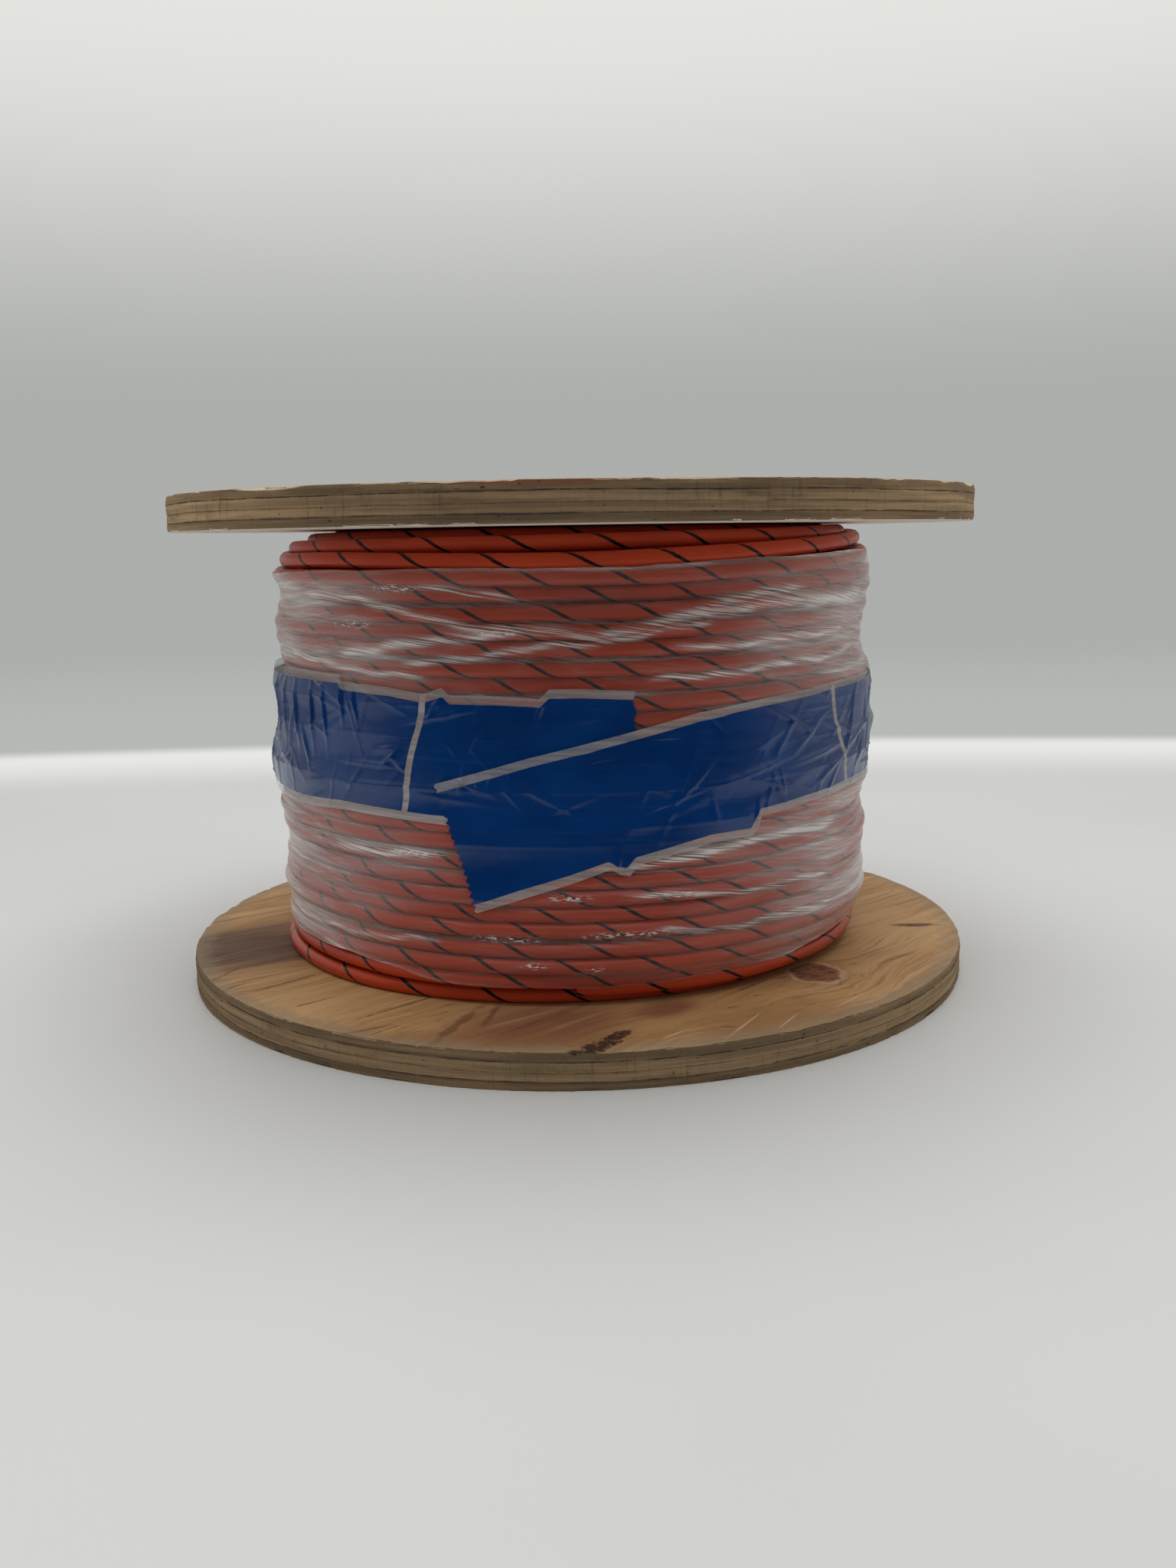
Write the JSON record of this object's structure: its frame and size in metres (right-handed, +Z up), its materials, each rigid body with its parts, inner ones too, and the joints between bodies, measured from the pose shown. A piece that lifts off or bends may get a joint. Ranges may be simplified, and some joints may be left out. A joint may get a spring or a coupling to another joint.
{
  "type": "wooden cable drum",
  "caption": "Small plywood cable drum standing on its lower flange, wound with insulated cable, wrapped in clear stretch film and held by a run of packing tape.",
  "frame": {"origin": "middle of the lower flange's underside, on the drum's axis", "axes": "+Z up the drum's axis through the arbor holes, -Y towards the front where the tape's end shows"},
  "size_m": [0.3048, 0.3048, 0.1882],
  "materials": {
    "plywood": "unfinished softwood plywood, raw sawn edge",
    "fibre_tube": "plain wound fibre board",
    "cable_jacket": "glossy orange jacket with a thin black stripe",
    "clear_film": "clear wrinkled stretch film",
    "blue_tape": "glossy blue tape with clear margins",
    "bolt_steel": "dull dark zinc"
  },
  "bodies": {
    "root": {"flange_lower": "plywood", "flange_upper": "plywood", "core_tube": "fibre_tube", "cable_winding": "cable_jacket", "stretch_film": "clear_film", "packing_tape": "blue_tape", "tie_bolt_1": "bolt_steel", "tie_bolt_2": "bolt_steel", "tie_bolt_3": "bolt_steel", "hex_nut_1": "bolt_steel", "hex_nut_2": "bolt_steel", "hex_nut_3": "bolt_steel"}
  },
  "joints": []
}
